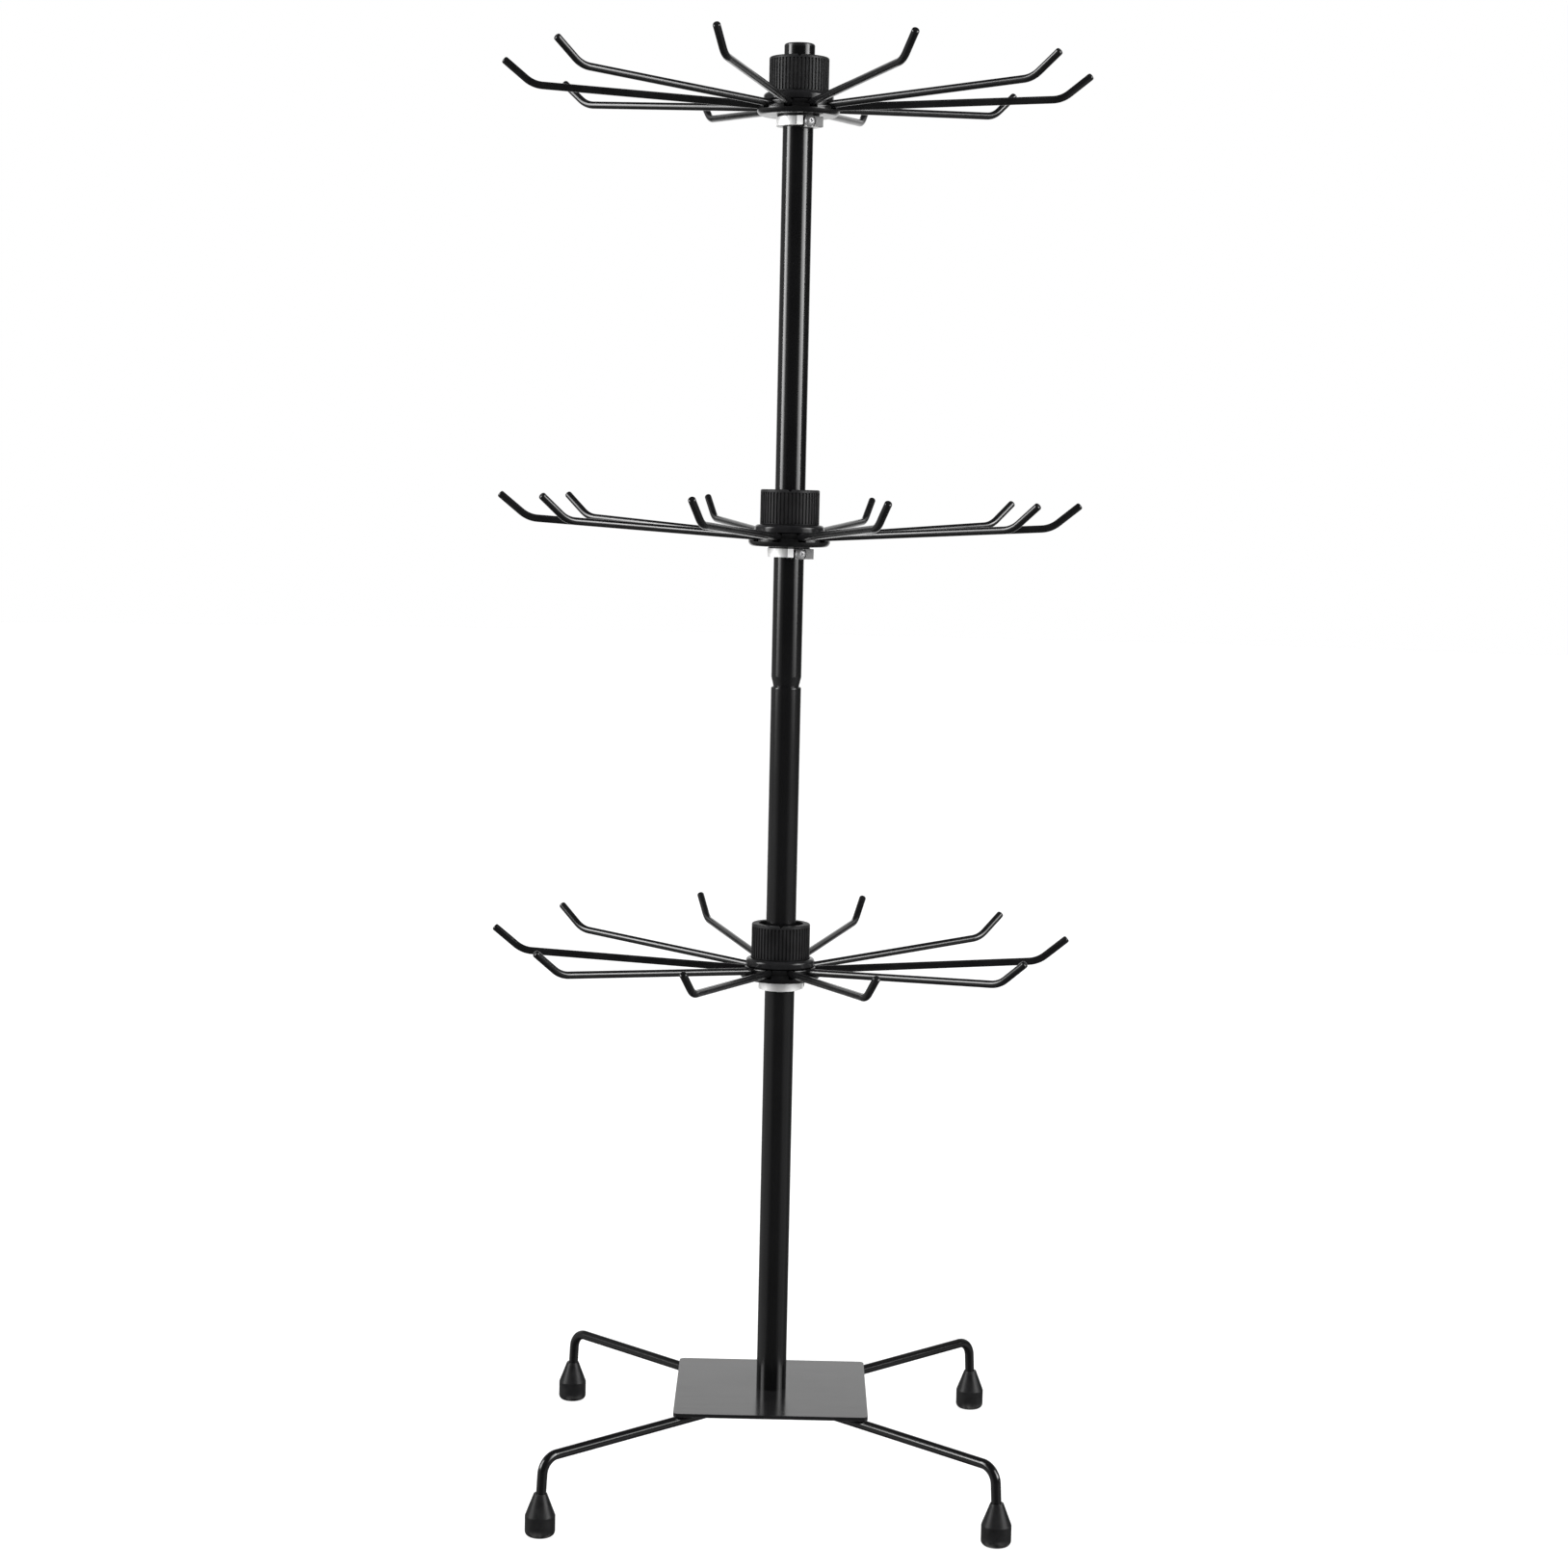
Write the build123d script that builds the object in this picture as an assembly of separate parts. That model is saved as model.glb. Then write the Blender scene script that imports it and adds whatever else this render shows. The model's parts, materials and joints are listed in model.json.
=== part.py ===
"""Counter-top display rack: three turning tiers of wire hooks on a two-piece pole with a four-legged base.

Millimetres, Z up. The floor is Z = 0, the pole stands on the Z axis, and -Y is the front.
Each separate piece of the rack is written to its own STEP file.
"""
import os
from math import cos, radians, sin, tan

from build123d import *

# Base
PLATE_SIDE = 102.0
PLATE_THICK = 2.0
PLATE_TOP = 44.2
PLATE_CORNER = 3.0
ROD_R = 2.6                  # leg rod
ROD_INNER_END = 18.0         # where a rod starts under the plate, from the pole's axis
ROD_BEND_R = 9.0
LEG_SPLAY = 4.0              # degrees that a leg leans out from the vertical
FOOT_OFFSET = 162.2          # foot's axis from the pole's axis, along the plate's diagonal
FOOT_R = 7.7
FOOT_SOLE_R = 5.0
FOOT_WALL_TOP = 10.5         # top of the foot's cylinder, where its cone starts
FOOT_HEIGHT = 21.7
FOOT_LIP_R = 3.4
ROD_CROSSING = 15.0          # height at which the leaning rod meets the foot's axis
FOOT_FLOOR = 3.0             # rubber under the rod's end
LEG_AZIMUTHS = {"front_left": 225.0, "front_right": 315.0, "back_right": 45.0, "back_left": 135.0}

# Pole
POLE_R = 8.0
POLE_BORE_R = 7.0
POLE_JOINT = 422.5           # mouth of the lower tube
POLE_TOP = 754.7             # top of the end cap
TENON_R = 6.9                # reduced end of the upper tube
TENON_BORE_R = 5.9
TENON_DEPTH = 40.0
SHOULDER = 4.6               # height over which the upper tube narrows to its tenon
SHOULDER_GAP = 0.5           # between the lower tube's mouth and the shoulder
SHOULDER_WALL = 1.0          # how much higher the bore narrows than the outside
MOUTH_ROUND = 0.9
CAP_THICK = 1.6
CAP_PLUG = 12.0
CAP_ROUND = 1.1
INSERT_LENGTH = 16.0
INSERT_R = 6.95
SCREW_R = 3.0                # base screw's thread
SCREW_LENGTH = 13.0          # above the plate's underside
SCREW_HEAD_FLATS = 10.0
SCREW_HEAD_THICK = 4.0
BASE_WASHER_R = 10.0
BASE_WASHER_THICK = 1.6

# Clearances, on the radius
FIT_GAP = 0.05               # pressed parts, and thread against thread
WASHER_GAP = 0.15
SCREW_HOLE_GAP = 0.3

# Tiers: height of the hub's underside, and how far its hooks and its collar stand turned, in degrees
TIERS = {"lower": (267.0, 0.0, 92.0), "middle": (496.0, 0.0, 0.0), "top": (718.0, 3.0, 0.0)}
HOOKS = 10
PITCH = 360.0 / HOOKS

# Hub, with heights above its underside
HUB_BORE_R = 8.1
CORE_R = 11.5
CORE_TOP = 25.6
DISC_R = 21.5
DISC_TOP = 4.3
DISC_ROUND = 2.8
DISC_TOP_ROUND = 0.6
LUG_R = 19.0
LUG_TOP = 7.0
LUG_ROUND = 0.8
CHANNEL_FLOOR = 2.6
CHANNEL_WIDTH = 4.4

# Hook wire, with heights above the hub's underside
WIRE_R = 1.95
WIRE_END_ROUND = 1.1
INNER_LEG_AT = 13.7
INNER_LEG_TOP = 9.9
INNER_BEND_R = 2.6
ARM_START = 4.8
ELBOW_AT = 136.9
ELBOW_HEIGHT = 12.3
ELBOW_R = 15.0
TIP_AT = 152.2
TIP_HEIGHT = 24.8

# Clamp nut, with heights above the hub's underside
NUT_R = 15.5
NUT_BORE_R = 11.8
NUT_BOTTOM = 7.3
NUT_TOP = 29.7
NUT_TOP_ROUND = 0.8
FLANGE_R = 18.25
FLANGE_TOP = 11.4
FLANGE_ROUND = 1.9
FLANGE_EDGE = 0.5
RECESS_R = 16.1
RECESS_TOP = 10.4
RIBS = 50
GROOVE_R = 0.6
GROOVE_CENTRE_R = 15.6
GROOVE_BOTTOM = 12.1
GROOVE_TOP = 28.2
NOTCH = 1.8

# Stop collar and slip washer, with heights below the hub's underside
WASHER_R = 10.9
WASHER_TOP = -0.1
WASHER_THICK = 0.8
COLLAR_BORE_R = 8.1
COLLAR_R = 11.3
COLLAR_TOP = -0.9
COLLAR_BOTTOM = -5.4
TAB_R = 12.4
TAB_INNER_R = 8.7
TAB_WIDTH = 3.1
BOSS_R = 12.8                # the boss's front face from the pole's axis
BOSS_BOTTOM = -6.2
BOSS_DEPTH = 5.0
BOSS_SIDES = (-2.6, 7.8)     # reach to either side of the clamp screw
SEAT_R = 3.5                 # recess round the clamp screw's head
SEAT_DEPTH = 0.8
SPLIT_WIDTH = 1.8
TAB_AT = -86.0               # directions seen from above, in degrees from +X
SPLIT_AT = -74.0
BOSS_AT = -62.0
CLAMP_SCREW_R = 1.5
CLAMP_HOLE_R = 1.6
CLAMP_START_R = 8.2          # the screw's point from the pole's axis
CLAMP_HEAD_R = 2.9
CLAMP_HEAD_THICK = 2.2
CLAMP_HEAD_ROUND = 2.0
CLAMP_SCREW_HEIGHT = -3.5
CLAMP_HEAD_GAP = 0.3
CROSS_WIDTH = 0.6            # arms of the cross recess in the screw's head
CROSS_LENGTH = 1.8
CROSS_DEPTH = 0.8


def turned(*points):
    """A solid turned about the Z axis from an outline given as (radius, height) points."""
    outline = Plane.XZ * Polyline(*points, close=True)
    return revolve(make_face(outline), Axis.Z)


def ring(outer, inner, bottom, top):
    """A plain ring about the Z axis between two heights."""
    return turned((inner, bottom), (outer, bottom), (outer, top), (inner, top))


def bent_rod(radius, bends, *points):
    """A round rod in the XZ plane along straight runs, with one bend radius for each corner."""
    path = Plane.XZ * FilletPolyline(*points, radius=bends)
    section = Plane(origin=path @ 0, z_dir=path % 0) * Circle(radius)
    return sweep(section, path=path)


def circle_edges(solid, radius, height):
    """The circular edges of one radius at one height."""
    circles = solid.edges().filter_by(GeomType.CIRCLE)
    return [e for e in circles if abs(e.radius - radius) < 0.01 and abs(e.center().Z - height) < 0.01]


def base_plate():
    plate = extrude(RectangleRounded(PLATE_SIDE, PLATE_SIDE, PLATE_CORNER), PLATE_THICK)
    plate -= Cylinder(SCREW_R + SCREW_HOLE_GAP, 4 * PLATE_THICK)
    return Pos(0, 0, PLATE_TOP - PLATE_THICK) * plate


def leg_rod(radius):
    """A leg's rod along +X: level under the plate, then down and slightly out into the foot."""
    level = PLATE_TOP - PLATE_THICK - ROD_R
    lean = tan(radians(LEG_SPLAY))
    end = (FOOT_OFFSET + (ROD_CROSSING - FOOT_FLOOR) * lean, FOOT_FLOOR)
    corner = (FOOT_OFFSET + (ROD_CROSSING - level) * lean, level)
    return bent_rod(radius, [ROD_BEND_R], (ROD_INNER_END, level), corner, end)


def rubber_foot():
    """A foot on the +X leg: a rounded cylinder under a cone that closes round the rod."""
    sole = (FOOT_SOLE_R, 0)
    side = (FOOT_R, FOOT_R - FOOT_SOLE_R)
    middle = (FOOT_SOLE_R + (FOOT_R - FOOT_SOLE_R) * sin(radians(45)),
              (FOOT_R - FOOT_SOLE_R) * (1 - cos(radians(45))))
    outline = Polyline((0, FOOT_HEIGHT), (0, 0), sole)
    outline += ThreePointArc(sole, middle, side)
    outline += Polyline(side, (FOOT_R, FOOT_WALL_TOP), (FOOT_LIP_R, FOOT_HEIGHT), (0, FOOT_HEIGHT))
    foot = revolve(make_face(Plane.XZ * outline), Axis.Z)
    return Pos(FOOT_OFFSET, 0, 0) * foot - leg_rod(ROD_R + FIT_GAP)


def base_screw():
    """Hexagon screw from below the plate into the pole's insert."""
    seat = PLATE_TOP - PLATE_THICK - BASE_WASHER_THICK
    head = extrude(RegularPolygon(SCREW_HEAD_FLATS / 2, 6, major_radius=False), SCREW_HEAD_THICK)
    shank = Cylinder(SCREW_R, SCREW_LENGTH + BASE_WASHER_THICK, align=(Align.CENTER, Align.CENTER, Align.MIN))
    return Pos(0, 0, seat - SCREW_HEAD_THICK) * head + Pos(0, 0, seat) * shank


def base_washer():
    underside = PLATE_TOP - PLATE_THICK
    return ring(BASE_WASHER_R, SCREW_R + WASHER_GAP, underside - BASE_WASHER_THICK, underside)


def pole_insert():
    """Threaded plug pressed into the foot of the lower tube."""
    return ring(INSERT_R, SCREW_R + FIT_GAP, PLATE_TOP, PLATE_TOP + INSERT_LENGTH)


def pole_lower():
    tube = ring(POLE_R, POLE_BORE_R, PLATE_TOP, POLE_JOINT)
    return fillet(circle_edges(tube, POLE_R, POLE_JOINT), MOUTH_ROUND)


def pole_upper():
    """Upper tube, with its lower end reduced to a tenon that plugs into the lower tube."""
    neck = POLE_JOINT + SHOULDER_GAP
    shoulder = neck + SHOULDER
    bottom = POLE_JOINT - TENON_DEPTH
    top = POLE_TOP - CAP_THICK
    outside = [(TENON_BORE_R, bottom), (TENON_R, bottom), (TENON_R, neck), (POLE_R, shoulder)]
    bore_taper = [(POLE_BORE_R, shoulder + SHOULDER_WALL), (TENON_BORE_R, neck + SHOULDER_WALL)]
    tube = turned(*outside, (POLE_R, top), (POLE_BORE_R, top), *bore_taper)
    return fillet(circle_edges(tube, POLE_R, shoulder), SHOULDER / 2)


def pole_cap():
    """Plug that closes the top of the upper tube."""
    bottom = POLE_TOP - CAP_THICK
    cap = ring(POLE_R, 0, bottom, POLE_TOP)
    cap = fillet(circle_edges(cap, POLE_R, POLE_TOP), CAP_ROUND)
    return cap + ring(POLE_BORE_R - FIT_GAP, 0, bottom - CAP_PLUG, bottom)


def hub():
    """Core tube on a disc, with a ring of lugs that leaves one radial channel for each hook."""
    disc = ring(DISC_R, HUB_BORE_R, 0, DISC_TOP)
    disc = fillet(circle_edges(disc, DISC_R, 0), DISC_ROUND)
    disc = fillet(circle_edges(disc, DISC_R, DISC_TOP), DISC_TOP_ROUND)
    lugs = ring(LUG_R, HUB_BORE_R, DISC_TOP, LUG_TOP)
    lugs = fillet(circle_edges(lugs, LUG_R, LUG_TOP), LUG_ROUND)
    body = disc + lugs
    low_corner = (Align.MIN, Align.CENTER, Align.MIN)
    channel = Pos(CORE_R, 0, CHANNEL_FLOOR) * Box(DISC_R, CHANNEL_WIDTH, LUG_TOP, align=low_corner)
    for index in range(HOOKS):
        body -= Rot(0, 0, index * PITCH) * channel
    return body + ring(CORE_R, HUB_BORE_R, 0, CORE_TOP)


def hook():
    """A hook along +X: turned-up inner leg, rising arm, elbow and upturned tip with a rounded end."""
    arm_end = (ELBOW_AT, ELBOW_HEIGHT)
    wire = bent_rod(WIRE_R, [INNER_BEND_R, ELBOW_R], (INNER_LEG_AT, INNER_LEG_TOP), (INNER_LEG_AT, ARM_START),
                    arm_end, (TIP_AT, TIP_HEIGHT))
    tip_edge = wire.edges().filter_by(GeomType.CIRCLE).sort_by(Axis.X)[-1]
    return fillet(tip_edge, WIRE_END_ROUND)


def clamp_nut():
    """Ribbed nut whose flange holds the hooks down in their channels."""
    flange = ring(FLANGE_R, NUT_BORE_R, NUT_BOTTOM, FLANGE_TOP)
    flange = fillet(circle_edges(flange, FLANGE_R, FLANGE_TOP), FLANGE_ROUND)
    flange = fillet(circle_edges(flange, FLANGE_R, NUT_BOTTOM), FLANGE_EDGE)
    lower_band = ring(NUT_R, NUT_BORE_R, FLANGE_TOP, GROOVE_BOTTOM)
    upper_band = ring(NUT_R, NUT_BORE_R, GROOVE_TOP, NUT_TOP)
    upper_band = fillet(circle_edges(upper_band, NUT_R, NUT_TOP), NUT_TOP_ROUND)
    section = Circle(NUT_R) - Circle(NUT_BORE_R)
    section -= PolarLocations(GROOVE_CENTRE_R, RIBS) * Circle(GROOVE_R)
    grip = Pos(0, 0, GROOVE_BOTTOM) * extrude(section, GROOVE_TOP - GROOVE_BOTTOM)
    nut = flange + lower_band + grip + upper_band
    nut -= Cylinder(RECESS_R, 2 * (RECESS_TOP - NUT_BOTTOM)).moved(Pos(0, 0, NUT_BOTTOM))
    notch = Pos(0, -NUT_BORE_R, NUT_TOP) * Rot(0, 45, 0) * Box(NOTCH, 2 * NUT_R, NOTCH)
    front = Pos(0, -NUT_R, NUT_TOP) * Box(NUT_R, NUT_R, NUT_R)
    return nut - (notch & front)


def slip_washer():
    return ring(WASHER_R, POLE_R + WASHER_GAP, WASHER_TOP - WASHER_THICK, WASHER_TOP)


def block(inner, outer, sides, bottom, top):
    """A block along +X between two distances from the axis, two sides and two heights."""
    size = (outer - inner, sides[1] - sides[0], top - bottom)
    middle = ((outer + inner) / 2, (sides[1] + sides[0]) / 2, (top + bottom) / 2)
    return Pos(*middle) * Box(*size)


def stop_collar():
    """Split ring with a tab beside the split, and a boss on the other side that takes the clamp screw."""
    tab_sides = (-TAB_WIDTH / 2, TAB_WIDTH / 2)
    split_sides = (-SPLIT_WIDTH / 2, SPLIT_WIDTH / 2)
    body = ring(COLLAR_R, COLLAR_BORE_R, COLLAR_BOTTOM, COLLAR_TOP)
    body += Rot(0, 0, TAB_AT) * block(TAB_INNER_R, TAB_R, tab_sides, COLLAR_BOTTOM, COLLAR_TOP)
    body += Rot(0, 0, BOSS_AT) * block(BOSS_R - BOSS_DEPTH, BOSS_R, BOSS_SIDES, BOSS_BOTTOM, COLLAR_TOP)
    body -= Rot(0, 0, SPLIT_AT) * block(0, 2 * TAB_R, split_sides, 2 * BOSS_BOTTOM, 1)
    body -= Cylinder(COLLAR_BORE_R, -4 * BOSS_BOTTOM)
    outward = Rot(0, 0, BOSS_AT) * Pos(0, 0, CLAMP_SCREW_HEIGHT) * Rot(0, 90, 0)
    upright = (Align.CENTER, Align.CENTER, Align.MIN)
    hole = Cylinder(CLAMP_HOLE_R, 2 * BOSS_R, align=upright)
    seat = Pos(0, 0, BOSS_R - SEAT_DEPTH) * Cylinder(SEAT_R, BOSS_R, align=upright)
    return body - outward * hole - outward * seat


def collar_screw():
    """Cross-head clamp screw, which points from the collar's boss to the pole."""
    upright = (Align.CENTER, Align.CENTER, Align.MIN)
    under_head = BOSS_R - SEAT_DEPTH + CLAMP_HEAD_GAP
    shank = Pos(0, 0, CLAMP_START_R) * Cylinder(CLAMP_SCREW_R, under_head - CLAMP_START_R, align=upright)
    head = Cylinder(CLAMP_HEAD_R, CLAMP_HEAD_THICK, align=upright)
    head = fillet(circle_edges(head, CLAMP_HEAD_R, CLAMP_HEAD_THICK), CLAMP_HEAD_ROUND)
    for turn in (0, 90):
        arm = Box(CROSS_LENGTH, CROSS_WIDTH, 2 * CROSS_DEPTH)
        head -= Pos(0, 0, CLAMP_HEAD_THICK) * Rot(0, 0, turn) * arm
    screw = Rot(0, 90, 0) * (shank + Pos(0, 0, under_head) * head)
    return Rot(0, 0, BOSS_AT) * Pos(0, 0, CLAMP_SCREW_HEIGHT) * screw


def rack():
    """Every piece of the rack by name, in its place."""
    pieces = {"base_plate": base_plate(), "base_washer": base_washer(), "base_screw": base_screw()}
    for side, azimuth in LEG_AZIMUTHS.items():
        pieces[f"leg_{side}"] = Rot(0, 0, azimuth) * leg_rod(ROD_R)
        pieces[f"foot_{side}"] = Rot(0, 0, azimuth) * rubber_foot()
    pieces["pole_insert"] = pole_insert()
    pieces["pole_lower"] = pole_lower()
    pieces["pole_upper"] = pole_upper()
    pieces["pole_cap"] = pole_cap()
    on_the_pole = {"stop_collar": stop_collar(), "collar_screw": collar_screw(), "slip_washer": slip_washer()}
    one_hub = hub()
    one_nut = clamp_nut()
    one_hook = hook()
    for tier, (height, hooks_turn, collar_turn) in TIERS.items():
        place = Pos(0, 0, height)
        for name, shape in on_the_pole.items():
            pieces[f"{name}_{tier}"] = place * Rot(0, 0, collar_turn) * shape
        pieces[f"hub_{tier}"] = place * Rot(0, 0, hooks_turn) * one_hub
        pieces[f"clamp_nut_{tier}"] = place * one_nut
        for index in range(HOOKS):
            turn = hooks_turn + index * PITCH
            pieces[f"hook_{tier}_{index + 1:02d}"] = place * Rot(0, 0, turn) * one_hook
    return pieces


os.makedirs("parts", exist_ok=True)
for name, shape in rack().items():
    export_step(shape, f"parts/{name}.step")
    print(f"{name}: volume {shape.volume:.1f}")
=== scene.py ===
"""Looks of the rotating display rack: surface materials, weld beads, studio and camera."""
import json
import math
import random

import bmesh
import bpy
from mathutils import Matrix, Vector


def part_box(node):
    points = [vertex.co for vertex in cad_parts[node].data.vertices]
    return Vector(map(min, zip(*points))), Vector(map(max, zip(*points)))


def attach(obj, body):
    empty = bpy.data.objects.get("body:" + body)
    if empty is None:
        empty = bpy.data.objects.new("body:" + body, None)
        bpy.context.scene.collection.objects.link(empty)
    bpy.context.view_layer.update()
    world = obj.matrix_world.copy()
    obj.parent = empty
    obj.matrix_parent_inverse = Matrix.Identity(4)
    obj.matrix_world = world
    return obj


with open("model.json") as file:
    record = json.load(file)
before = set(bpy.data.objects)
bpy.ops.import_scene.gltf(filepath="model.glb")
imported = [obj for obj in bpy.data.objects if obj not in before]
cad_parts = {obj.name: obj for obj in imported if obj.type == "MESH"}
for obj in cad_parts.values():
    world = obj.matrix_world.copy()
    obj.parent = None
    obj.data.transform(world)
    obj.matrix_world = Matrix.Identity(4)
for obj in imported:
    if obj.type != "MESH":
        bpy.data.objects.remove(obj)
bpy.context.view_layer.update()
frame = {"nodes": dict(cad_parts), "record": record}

# Camera, in metres and degrees
CAMERA_DISTANCE = 1.60
CAMERA_HEIGHT = 0.530
CAMERA_DOWN = 5.68
CAMERA_ROLL = 1.23
FIELD_OF_VIEW = 28.9
SENSOR_WIDTH = 36.0          # millimetres, as Blender counts it

# Studio, in metres, and degrees round the rack from the camera's side
FLOOR_RADIUS = 9.0
FLOOR_SIDES = 96
FLOOR_GAP = 0.0001
FLOOR_GLOW = 0.84
STRIP_DISTANCE = 1.6
STRIP_HEIGHT = 1.0
STRIP_DIM_SIDE = 0.2         # light left at the dimmer side
STRIP_FOOT = 0.3             # share of the height over which a strip's foot fades
LEFT_STRIP = {"azimuth": -73.0, "size": (0.70, 1.5), "power": 52.0, "bright_side": 0.0}
RIGHT_STRIP = {"azimuth": 60.0, "size": (0.90, 1.5), "power": 56.0, "bright_side": 1.0}
OVERHEAD = {"height": 2.4, "size": (1.6, 1.6), "power": 40.0}
BACKDROP_WHITE = 1.0

# What reflections see: a dim room with patches of light. A patch is its level and its soft edges. An edge is
# the direction it lies across, where it starts, where it is full, and the share of light before its start.
DIM_ROOM = 0.01
BAR_EDGES = (("back", 0.07, -0.03, 0.0), ("up", 0.20, 0.30, 0.0), ("up", 0.52, 0.38, 0.0))
PATCHES = {
    "floor haze": (0.06, ("up", 0.02, -0.14, 0.0)),
    "left haze": (0.33, ("left", 0.50, 0.95, 0.0)),
    "right haze": (0.28, ("right", 0.40, 0.85, 0.0), ("up", 0.02, -0.14, 0.15), ("back", 0.35, 0.0, 0.2)),
    "back corners": (0.40, ("aside", 0.25, 0.45, 0.0), ("back", 0.3, 0.5, 0.0), ("up", 0.15, 0.3, 0.0),
                     ("up", 0.75, 0.6, 0.0)),
    "left bar": (4.1, ("left", 0.75, 0.88, 0.0), *BAR_EDGES),
    "right bar": (6.9, ("right", 0.75, 0.88, 0.0), *BAR_EDGES),
    "backdrop": (1.15, ("back", 0.80, 0.93, 0.0), ("up", 0.50, 0.32, 0.0)),
}

# Surfaces. Noise keeps near its middle, so it is stretched from one of these pairs of values.
MIDDLE_NOISE = (0.35, 0.65)
WIDE_NOISE = (0.3, 0.7)
BLUE_TRACE = 1.06            # blue of the blacks, against their red
EDGE_TURN = (0.985, 0.8)     # cosines of the turn at which an edge starts and is full
EDGE_SAMPLES = 4
GROOVE_SAMPLES = 8

# Where a finish, or the collar's painted shade, changes, in metres from the pole's axis: from one radius to
# another
NUT_FLANGE = (0.0156, 0.0162)
COLLAR_TAB = (0.0115, 0.0120)
# Beyond this radius the collar's boss is painted dark grey as shade
COLLAR_BOSS_SHADE = (0.01255, 0.01275)

# Weld beads under the plate, in metres, along both sides of each leg's rod
LEGS = ("front_left", "front_right", "back_right", "back_left")
ROD_R = 0.0026
WELD_START = 0.022
WELD_END = 0.062
WELD_R = 0.0019
WELD_FLATNESS = 0.76
WELD_DROP = 0.7
WELD_TAPER = 6
WELD_TIP = 0.15
WELD_RIPPLE = 0.12
WELD_UNEVEN = 0.05
WELD_RIPPLES = 19
WELD_STEPS = 60
WELD_SIDES = 10


# ---------------------------------------------------------------- node trees

class Nodes:
    """A node tree, with short calls for the nodes that materials, lights and the world are made of."""

    def __init__(self, tree):
        self.nodes = tree.nodes
        self.links = tree.links

    def place(self, kind):
        """Coordinates of one kind, such as Object or Generated."""
        return self.nodes.new("ShaderNodeTexCoord").outputs[kind]

    def join(self, value, socket):
        """Puts a number, a colour or another node's output into a socket."""
        if isinstance(value, (int, float)):
            socket.default_value = value
        elif isinstance(value, tuple):
            socket.default_value = (*value, 1.0)
        else:
            self.links.new(value, socket)

    def axes(self, vector):
        """The X, Y and Z parts of a vector."""
        node = self.nodes.new("ShaderNodeSeparateXYZ")
        self.links.new(vector, node.inputs["Vector"])
        return node.outputs["X"], node.outputs["Y"], node.outputs["Z"]

    def stretched(self, coords, scale):
        """Coordinates multiplied by a scale for each axis."""
        mapping = self.nodes.new("ShaderNodeMapping")
        mapping.inputs["Scale"].default_value = scale
        self.links.new(coords, mapping.inputs["Vector"])
        return mapping.outputs["Vector"]

    def noise(self, coords, scale, detail=3.0, roughness=0.55):
        node = self.nodes.new("ShaderNodeTexNoise")
        node.inputs["Scale"].default_value = scale
        node.inputs["Detail"].default_value = detail
        node.inputs["Roughness"].default_value = roughness
        self.links.new(coords, node.inputs["Vector"])
        return node.outputs["Fac"]

    def spread(self, value, low, high, to_low=0.0, to_high=1.0, smooth=False):
        """A value mapped from one range to another, and held within it."""
        node = self.nodes.new("ShaderNodeMapRange")
        node.interpolation_type = "SMOOTHSTEP" if smooth else "LINEAR"
        node.inputs["From Min"].default_value = low
        node.inputs["From Max"].default_value = high
        node.inputs["To Min"].default_value = to_low
        node.inputs["To Max"].default_value = to_high
        self.links.new(value, node.inputs["Value"])
        return node.outputs["Result"]

    def math(self, operation, first, second):
        node = self.nodes.new("ShaderNodeMath")
        node.operation = operation
        self.join(first, node.inputs[0])
        self.join(second, node.inputs[1])
        return node.outputs["Value"]

    def add(self, first, second):
        return self.math("ADD", first, second)

    def times(self, first, second):
        return self.math("MULTIPLY", first, second)

    def mix(self, factor, first, second):
        """A colour between two others, which are RGB triples or sockets."""
        node = self.nodes.new("ShaderNodeMix")
        node.data_type = "RGBA"
        self.links.new(factor, node.inputs["Factor"])
        colour_inputs = [socket for socket in node.inputs if socket.type == "RGBA"]
        for value, socket in zip((first, second), colour_inputs):
            self.join(value, socket)
        return [socket for socket in node.outputs if socket.type == "RGBA"][0]


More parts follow.
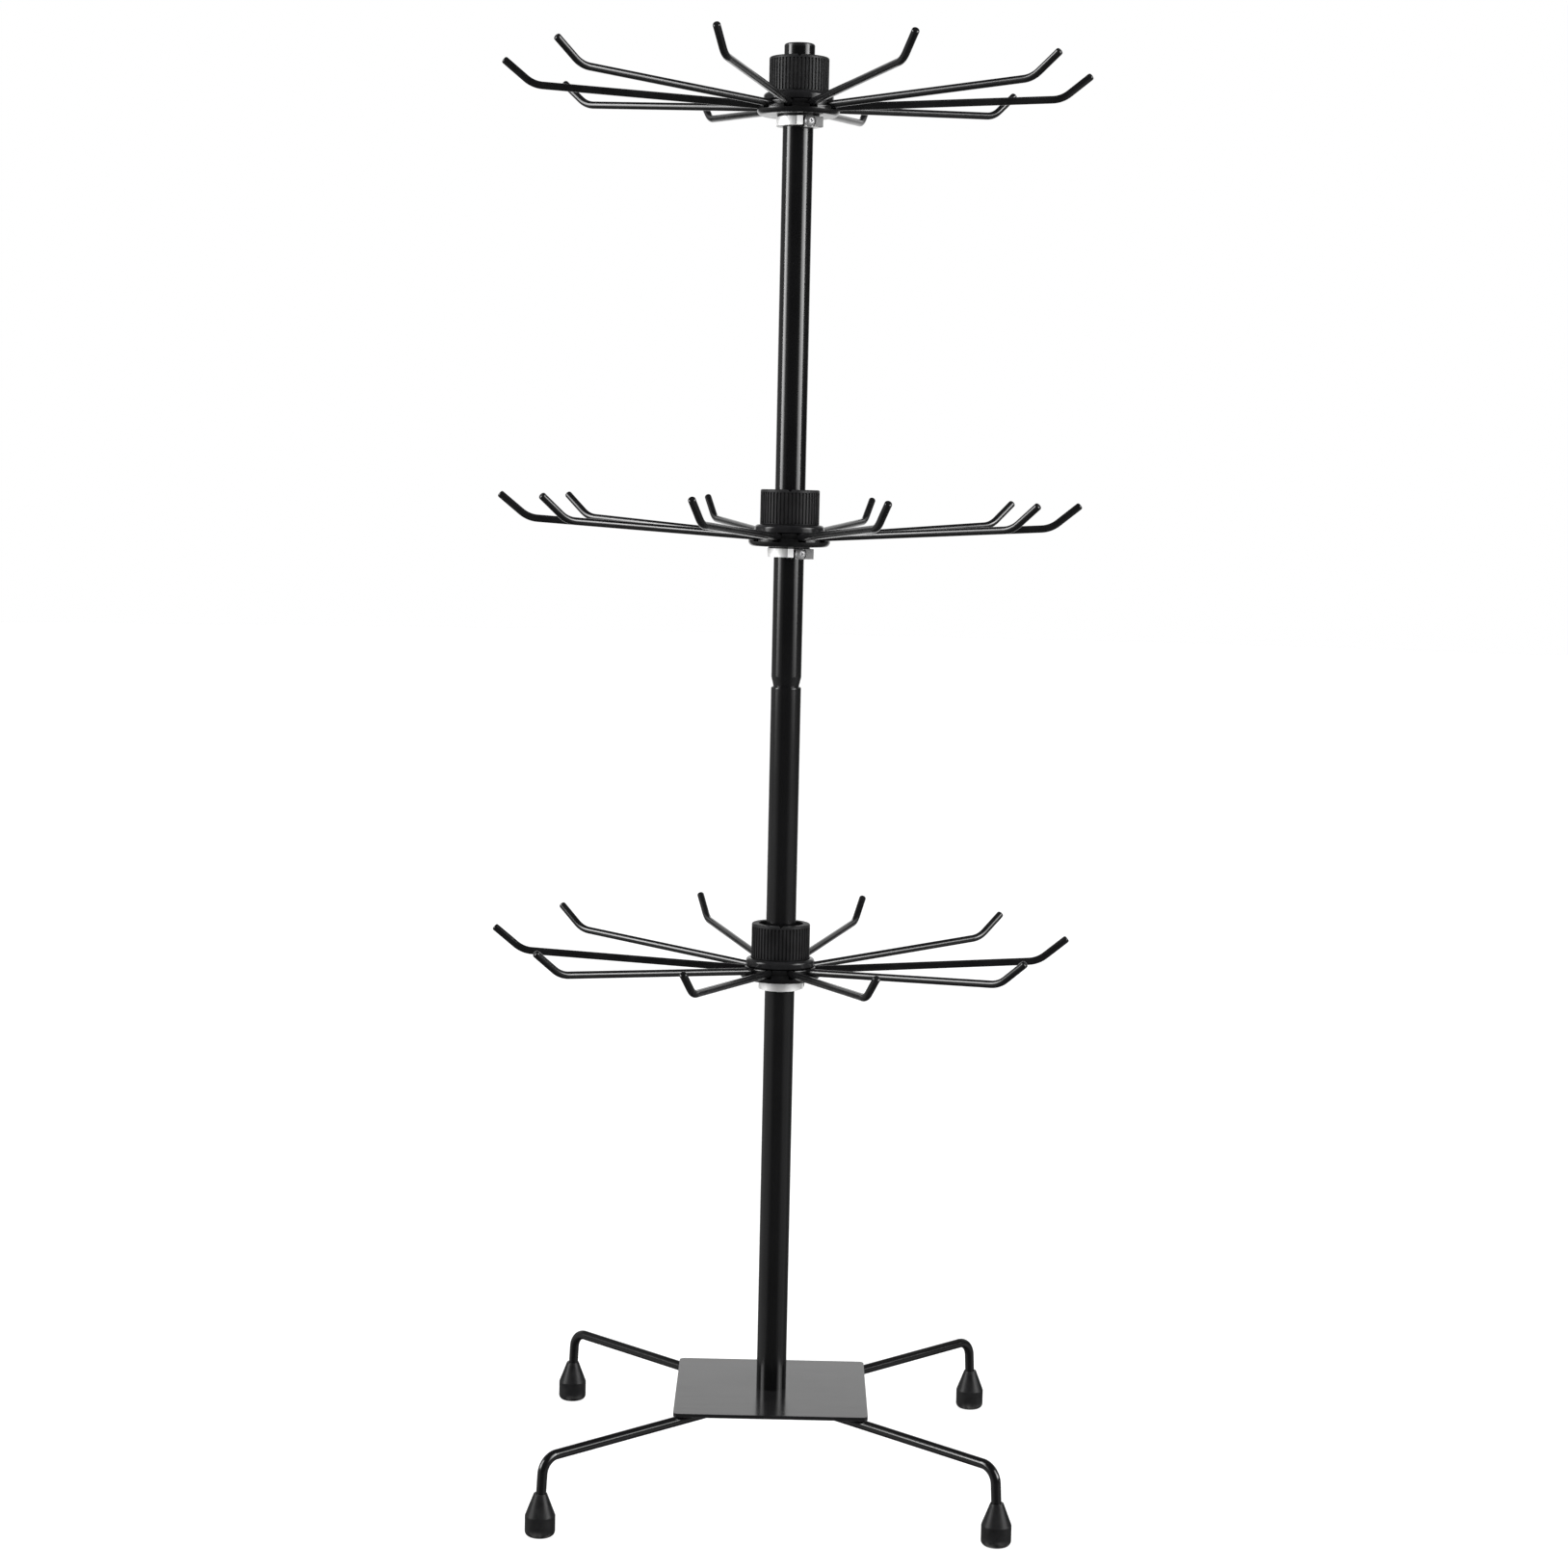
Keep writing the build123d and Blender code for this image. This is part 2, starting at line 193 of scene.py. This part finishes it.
class Surface(Nodes):
    """A principled material with its nodes, built up step by step."""

    def __init__(self, name):
        self.material = bpy.data.materials.new(name)
        self.material.use_nodes = True
        super().__init__(self.material.node_tree)
        self.shader = self.nodes["Principled BSDF"]
        self.coords = self.place("Object")

    def set(self, **values):
        """Uniform values, straight on the shader's sockets."""
        for name, value in values.items():
            self.shader.inputs[name.replace("_", " ")].default_value = value

    def grain(self, scale, detail=3.0, roughness=0.55):
        return self.noise(self.coords, scale, detail, roughness)

    def lines(self, scale, detail=3.0, roughness=0.6):
        """Grain drawn out into lines by a scale for each axis."""
        return self.noise(self.stretched(self.coords, scale), 1.0, detail, roughness)

    def edges(self, width):
        """1 on convex edges, fading to 0 over a width in metres."""
        bevel = self.nodes.new("ShaderNodeBevel")
        bevel.samples = EDGE_SAMPLES
        bevel.inputs["Radius"].default_value = width
        geometry = self.nodes.new("ShaderNodeNewGeometry")
        dot = self.nodes.new("ShaderNodeVectorMath")
        dot.operation = "DOT_PRODUCT"
        self.links.new(bevel.outputs["Normal"], dot.inputs[0])
        self.links.new(geometry.outputs["Normal"], dot.inputs[1])
        return self.spread(dot.outputs["Value"], *EDGE_TURN)

    def from_axis(self):
        """Distance from the pole's axis."""
        across, along, _ = self.axes(self.coords)
        return self.math("POWER", self.add(self.times(across, across), self.times(along, along)), 0.5)

    def openness(self, reach):
        """Ambient occlusion for painting shade into grooves: 1 on open faces, falling to 0 in grooves
        narrower than a reach in metres.
        """
        node = self.nodes.new("ShaderNodeAmbientOcclusion")
        node.samples = GROOVE_SAMPLES
        node.only_local = True
        node.inputs["Distance"].default_value = reach
        return node.outputs["AO"]

    def colour(self, value):
        self.join(value, self.shader.inputs["Base Color"])

    def roughness(self, value):
        self.join(value, self.shader.inputs["Roughness"])

    def bump(self, *layers):
        """Bump from (height socket, depth in metres) pairs, one on top of the other."""
        normal = None
        for height, depth in layers:
            node = self.nodes.new("ShaderNodeBump")
            node.inputs["Strength"].default_value = 1.0
            node.inputs["Distance"].default_value = depth
            self.links.new(height, node.inputs["Height"])
            if normal:
                self.links.new(normal, node.inputs["Normal"])
            normal = node.outputs["Normal"]
        self.links.new(normal, self.shader.inputs["Normal"])


# ---------------------------------------------------------------- materials

def black(level):
    """A neutral black with a trace of blue."""
    return (level, level, level * BLUE_TRACE)


def painted(name, levels, gloss, cloud_scale):
    """A black coat whose shade and gloss drift slowly. Returns the surface, its base colour and its gloss."""
    s = Surface(name)
    cloud = s.grain(cloud_scale, 3.0, 0.6)
    base = s.mix(s.spread(cloud, *MIDDLE_NOISE), black(levels[0]), black(levels[1]))
    return s, base, s.spread(cloud, *WIDE_NOISE, *gloss)


def powder_coat():
    """Black powder coat on steel: orange peel, a few pale specks, drifting gloss and dulled edges."""
    s, base, gloss = painted("powder_coat", (0.0026, 0.0040), (0.13, 0.19), 14.0)
    specks = s.spread(s.grain(2600.0, 1.0), 0.70, 0.78, 0.0, 0.25)
    wear = s.times(s.edges(0.0005), s.spread(s.grain(90.0, 4.0), 0.45, 0.62, 0.0, 0.6))
    base = s.mix(specks, base, black(0.02))
    s.colour(s.mix(wear, base, black(0.035)))
    s.roughness(s.add(gloss, s.times(wear, 0.15)))
    s.bump((s.grain(420.0, 2.0, 0.5), 0.000006), (s.grain(1900.0, 2.0), 0.0000007))
    return s.material


def plate_coat():
    """The plate's smoother black coat: nearly flat, with faint wiping marks."""
    s = Surface("plate_coat")
    base = s.mix(s.spread(s.grain(22.0, 3.0, 0.6), *MIDDLE_NOISE), black(0.005), black(0.008))
    wipes = s.times(s.lines((30.0, 420.0, 60.0), 4.0), s.grain(22.0, 4.0, 0.6))
    wear = s.times(s.edges(0.0006), s.spread(s.grain(110.0, 4.0), 0.42, 0.6, 0.0, 0.7))
    s.colour(s.mix(wear, base, black(0.05)))
    s.roughness(s.add(s.spread(wipes, 0.15, 0.4, 0.15, 0.21), s.times(wear, 0.2)))
    s.set(Specular_IOR_Level=0.33)
    s.bump((s.grain(260.0, 2.0, 0.45), 0.000006), (s.grain(1700.0, 2.0), 0.0000015))
    return s.material


def wire_coat():
    """Black coat on drawn wire: soft orange peel and a few small chips."""
    s, base, gloss = painted("wire_coat", (0.0032, 0.0055), (0.15, 0.23), 60.0)
    chips = s.spread(s.grain(340.0, 3.0, 0.6), 0.72, 0.76, 0.0, 0.35)
    s.colour(s.mix(chips, base, black(0.015)))
    s.roughness(gloss)
    s.bump((s.grain(500.0, 2.0, 0.5), 0.0000014), (s.grain(2400.0, 2.0), 0.0000004))
    return s.material


def nut_plastic():
    """Black moulded plastic of the ribbed nuts: matt, with rubbed ribs, painted shade in the grooves,
    glossier flange.
    """
    s, base, gloss = painted("nut_plastic", (0.006, 0.010), (0.42, 0.52), 130.0)
    rub = s.times(s.edges(0.0003), s.spread(s.grain(170.0), 0.4, 0.62, 0.15, 0.8))
    # Painted shade: ambient occlusion darkens the grooves to near black and takes away their specular.
    unshaded_face = s.spread(s.openness(0.0012), 0.55, 0.9)
    s.colour(s.mix(unshaded_face, black(0.0015), s.mix(rub, base, black(0.03))))
    s.roughness(s.times(gloss, s.spread(s.from_axis(), *NUT_FLANGE, 1.0, 0.4)))
    s.join(s.times(unshaded_face, 0.22), s.shader.inputs["Specular IOR Level"])
    s.bump((s.grain(3200.0, 3.0, 0.6), 0.000003), (s.grain(700.0, 2.0), 0.000004))
    return s.material


def hub_plastic():
    """Smoother black plastic of the hubs: polished mould faces with faint flow marks."""
    s, base, gloss = painted("hub_plastic", (0.003, 0.005), (0.18, 0.26), 150.0)
    rub = s.times(s.edges(0.0003), s.spread(s.grain(210.0), 0.42, 0.62, 0.0, 0.7))
    s.colour(s.mix(rub, base, black(0.025)))
    s.roughness(s.add(gloss, s.times(rub, 0.12)))
    s.bump((s.grain(2600.0, 2.0, 0.6), 0.0000015), (s.lines((160.0, 160.0, 600.0), 3.0), 0.000005))
    return s.material


def cap_plastic():
    """Smooth black plug with moulding swirls."""
    s, base, gloss = painted("cap_plastic", (0.004, 0.007), (0.18, 0.28), 180.0)
    s.colour(base)
    s.roughness(gloss)
    s.bump((s.grain(1500.0, 2.0), 0.000003), (s.grain(180.0, 4.0, 0.6), 0.00001))
    return s.material


def rubber():
    """Black rubber: matte, finely pitted, with grey dust low on the sole."""
    s, base, gloss = painted("rubber", (0.005, 0.009), (0.36, 0.46), 190.0)
    height = s.axes(s.coords)[2]
    dusty = s.spread(height, 0.0045, 0.0005)
    dust = s.times(dusty, s.spread(s.grain(260.0, 4.0, 0.6), 0.42, 0.66, 0.0, 0.7))
    s.colour(s.mix(dust, base, (0.09, 0.088, 0.085)))
    s.roughness(gloss)
    s.set(Specular_IOR_Level=0.22)
    s.bump((s.grain(1500.0, 4.0, 0.65), 0.00001), (s.grain(420.0, 3.0), 0.000014))
    return s.material


def turned_metal():
    """Bright split collar: satin turned ring, pale matt milled tab, a boss painted dark grey as shade, and
    painted shade in the split and recesses.
    """
    s = Surface("turned_metal")
    lines = s.lines((90.0, 90.0, 5200.0), 3.0, 0.7)
    reach = s.from_axis()
    # Painted shade: beyond a radius the boss takes a dark grey colour in place of the bright ring's.
    shaded_boss = s.spread(reach, *COLLAR_BOSS_SHADE)
    bright = s.mix(s.spread(lines, *WIDE_NOISE), (0.80, 0.80, 0.795), (0.95, 0.95, 0.945))
    finish = s.mix(shaded_boss, bright, (0.11, 0.11, 0.11))
    # Painted shade: ambient occlusion darkens the split and the screw's seat to near black.
    s.colour(s.mix(s.spread(s.openness(0.002), 0.45, 0.8), black(0.015), finish))
    haze = s.spread(s.grain(160.0, 3.0, 0.6), *WIDE_NOISE, 0.0, 0.08)
    s.roughness(s.add(s.spread(lines, *WIDE_NOISE, 0.46, 0.54), haze))
    s.join(s.spread(reach, *COLLAR_TAB, 0.75, 0.25), s.shader.inputs["Metallic"])
    s.bump((lines, 0.000002), (s.grain(900.0), 0.000002))
    return s.material


def plated_steel():
    """Zinc-plated screws: bright, slightly mottled."""
    s = Surface("plated_steel")
    mottle = s.grain(520.0, 4.0, 0.65)
    s.colour(s.mix(s.spread(mottle, *MIDDLE_NOISE), (0.26, 0.26, 0.265), (0.36, 0.36, 0.36)))
    s.roughness(s.spread(mottle, *WIDE_NOISE, 0.36, 0.46))
    s.bump((s.grain(2600.0), 0.000001), (mottle, 0.000003))
    s.set(Metallic=0.6)
    return s.material


def nylon():
    """Black nylon washer: matt, slightly cloudy, with a soft sheen."""
    s, base, gloss = painted("nylon", (0.006, 0.012), (0.34, 0.46), 240.0)
    s.colour(base)
    s.roughness(gloss)
    s.bump((s.grain(2200.0, 2.0), 0.000003), (s.grain(240.0), 0.000008))
    s.set(Sheen_Weight=0.1, Sheen_Roughness=0.4)
    return s.material


def weld_metal():
    """Weld bead under the coat: rippled and glossy black."""
    s, base, gloss = painted("weld_bead", (0.004, 0.007), (0.2, 0.32), 620.0)
    s.colour(base)
    s.roughness(gloss)
    s.bump((s.grain(620.0, 3.0, 0.6), 0.00006), (s.grain(2200.0, 2.0), 0.000006))
    return s.material


def floor_white():
    """Back-lit white acrylic with the faintest mottling, clear when seen from below."""
    s = Surface("studio_floor")
    cloud = s.grain(2.0, 4.0, 0.6)
    s.colour(s.mix(s.spread(cloud, *WIDE_NOISE), (0.19, 0.19, 0.19), (0.22, 0.22, 0.22)))
    s.roughness(s.spread(cloud, *WIDE_NOISE, 0.6, 0.8))
    s.set(Emission_Color=(1, 1, 1, 1), Emission_Strength=FLOOR_GLOW)
    from_below = s.nodes.new("ShaderNodeNewGeometry").outputs["Backfacing"]
    clear = s.nodes.new("ShaderNodeBsdfTransparent")
    sides = s.nodes.new("ShaderNodeMixShader")
    s.links.new(from_below, sides.inputs["Fac"])
    s.links.new(s.shader.outputs["BSDF"], sides.inputs[1])
    s.links.new(clear.outputs["BSDF"], sides.inputs[2])
    s.links.new(sides.outputs["Shader"], s.nodes["Material Output"].inputs["Surface"])
    return s.material


def dress_frame():
    """Gives each CAD node the finish of its kind, or else of its material slot."""
    kinds = {"base_plate": plate_coat(), "clamp_nut": nut_plastic(), "hub": hub_plastic()}
    slots = {"powder_black": powder_coat(), "wire_black": wire_coat(), "cap_black": cap_plastic(),
             "rubber_black": rubber(), "collar_metal": turned_metal(), "screw_steel": plated_steel(),
             "nylon_black": nylon()}
    for part in frame["record"]["subparts"]:
        finish = slots.get(part["material_slot"])
        for kind in kinds:
            if part["node"].startswith(kind):
                finish = kinds[kind]
        for mesh_slot in frame["nodes"][part["node"]].material_slots:
            mesh_slot.material = finish


# ---------------------------------------------------------------- detail pieces

def loft(shape, sections):
    """Skins a list of equally long point rings and closes both ends."""
    rings = [[shape.verts.new(point) for point in section] for section in sections]
    count = len(rings[0])
    for first, second in zip(rings, rings[1:]):
        for i in range(count):
            j = (i + 1) % count
            shape.faces.new((first[i], first[j], second[j], second[i]))
    shape.faces.new(rings[0][::-1])
    shape.faces.new(rings[-1])


def mesh_piece(name, sections, body, finish):
    """A new object skinned over point rings, riding on a body."""
    mesh = bpy.data.meshes.new(name)
    shape = bmesh.new()
    loft(shape, sections)
    bmesh.ops.recalc_face_normals(shape, faces=shape.faces)
    shape.to_mesh(mesh)
    shape.free()
    mesh.polygons.foreach_set("use_smooth", [True] * len(mesh.polygons))
    mesh.materials.append(finish)
    piece = bpy.data.objects.new(name, mesh)
    bpy.context.scene.collection.objects.link(piece)
    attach(piece, body)


def weld_ring(centre, side, radius):
    """One ring of points across a weld bead, a little flatter than round."""
    ring = []
    for i in range(WELD_SIDES):
        angle = 2 * math.pi * i / WELD_SIDES
        rise = Vector((0, 0, radius * WELD_FLATNESS * math.sin(angle)))
        ring.append(centre + side * (radius * math.cos(angle)) + rise)
    return ring


def weld_bead(leg, finish):
    """Rippled fillets along both sides of a leg's rod, under the plate."""
    plate_low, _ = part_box("base_plate")
    rod_low, rod_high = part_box(f"leg_{leg}")
    outward = Vector((rod_low.x + rod_high.x, rod_low.y + rod_high.y, 0)).normalized()
    side = Vector((-outward.y, outward.x, 0))
    ripples = random.Random(leg)
    for name, flank in (("a", -ROD_R), ("b", ROD_R)):
        rings = []
        for i in range(WELD_STEPS + 1):
            along = i / WELD_STEPS
            taper = math.sqrt(min(1.0, WELD_TAPER * along, WELD_TAPER * (1 - along)))
            ripple = 1 + WELD_RIPPLE * math.sin(2 * math.pi * WELD_RIPPLES * along)
            ripple += ripples.uniform(-WELD_UNEVEN, WELD_UNEVEN)
            radius = WELD_R * (WELD_TIP + (1 - WELD_TIP) * taper) * ripple
            centre = outward * (WELD_START + (WELD_END - WELD_START) * along) + side * flank
            centre.z = plate_low.z - WELD_DROP * radius
            rings.append(weld_ring(centre, side, radius))
        mesh_piece(f"weld_{leg}_{name}", rings, "base", finish)


# ---------------------------------------------------------------- studio and camera

def round_place(azimuth, distance, height):
    """A point round the rack: azimuth 0 is in front of it, and 90 to its right."""
    turn = math.radians(azimuth)
    return Vector((math.sin(turn) * distance, -math.cos(turn) * distance, height))


def area_light(name, place, target, size, power):
    data = bpy.data.lights.new(name, "AREA")
    data.shape = "RECTANGLE"
    data.size, data.size_y = size
    data.energy = power
    light = bpy.data.objects.new(name, data)
    light.location = place
    light.rotation_euler = (target - place).to_track_quat("-Z", "Y").to_euler()
    light.visible_camera = False
    bpy.context.scene.collection.objects.link(light)
    return light


def strip_light(name, azimuth, size, power, bright_side):
    """An upright softbox that fades towards its foot and towards one side."""
    place = round_place(azimuth, STRIP_DISTANCE, STRIP_HEIGHT)
    light = area_light(name, place, Vector((0, 0, STRIP_HEIGHT)), size, power)
    light.data.use_nodes = True
    tree = Nodes(light.data.node_tree)
    across, up, _ = tree.axes(tree.nodes.new("ShaderNodeNewGeometry").outputs["Parametric"])
    sideways = tree.spread(across, 1.0 - bright_side, bright_side, STRIP_DIM_SIDE)
    foot = tree.spread(up, 0.0, STRIP_FOOT, smooth=True)
    tree.join(tree.times(sideways, foot), tree.nodes["Emission"].inputs["Strength"])


def studio_world():
    """White to look at and to light by, while reflections see the dim room and its patches of light."""
    world = bpy.data.worlds.new("studio")
    world.use_nodes = True
    tree = Nodes(world.node_tree)
    right, back, up = tree.axes(tree.place("Generated"))
    left = tree.times(right, -1.0)
    aside = tree.math("MAXIMUM", right, left)
    directions = {"right": right, "left": left, "aside": aside, "back": back, "up": up}
    reflected = DIM_ROOM
    for light, *edges in PATCHES.values():
        for direction, start, full, share in edges:
            inside = tree.spread(directions[direction], start, full, share, smooth=True)
            light = tree.times(light, inside)
        reflected = tree.add(reflected, light)
    mirror_ray = tree.nodes.new("ShaderNodeLightPath").outputs["Is Glossy Ray"]
    seen = tree.mix(mirror_ray, (BACKDROP_WHITE,) * 3, reflected)
    tree.join(seen, tree.nodes["Background"].inputs["Color"])
    bpy.context.scene.world = world


def studio_floor():
    """A round white floor, which reflections leave to the backdrop."""
    mesh = bpy.data.meshes.new("floor")
    shape = bmesh.new()
    bmesh.ops.create_circle(shape, cap_ends=True, segments=FLOOR_SIDES, radius=FLOOR_RADIUS)
    shape.to_mesh(mesh)
    shape.free()
    mesh.materials.append(floor_white())
    floor = bpy.data.objects.new("floor", mesh)
    floor.location.z = -FLOOR_GAP
    floor.visible_glossy = False
    bpy.context.scene.collection.objects.link(floor)


def lights():
    strip_light("strip_left", **LEFT_STRIP)
    strip_light("strip_right", **RIGHT_STRIP)
    place = Vector((0, 0, OVERHEAD["height"]))
    overhead = area_light("overhead", place, Vector((0, 0, 0)), OVERHEAD["size"], OVERHEAD["power"])
    overhead.visible_glossy = False


def camera():
    data = bpy.data.cameras.new("camera")
    data.sensor_width = SENSOR_WIDTH
    data.lens = SENSOR_WIDTH / 2 / math.tan(math.radians(FIELD_OF_VIEW / 2))
    view = bpy.data.objects.new("camera", data)
    tilt = Matrix.Rotation(math.radians(90 - CAMERA_DOWN), 4, "X")
    roll = Matrix.Rotation(math.radians(CAMERA_ROLL), 4, "Z")
    view.matrix_world = Matrix.Translation((0, -CAMERA_DISTANCE, CAMERA_HEIGHT)) @ tilt @ roll
    bpy.context.scene.collection.objects.link(view)
    bpy.context.scene.camera = view


camera()
studio_world()
studio_floor()
lights()
dress_frame()
bead_finish = weld_metal()
for leg_name in LEGS:
    weld_bead(leg_name, bead_finish)
bpy.context.scene.view_settings.view_transform = "Standard"
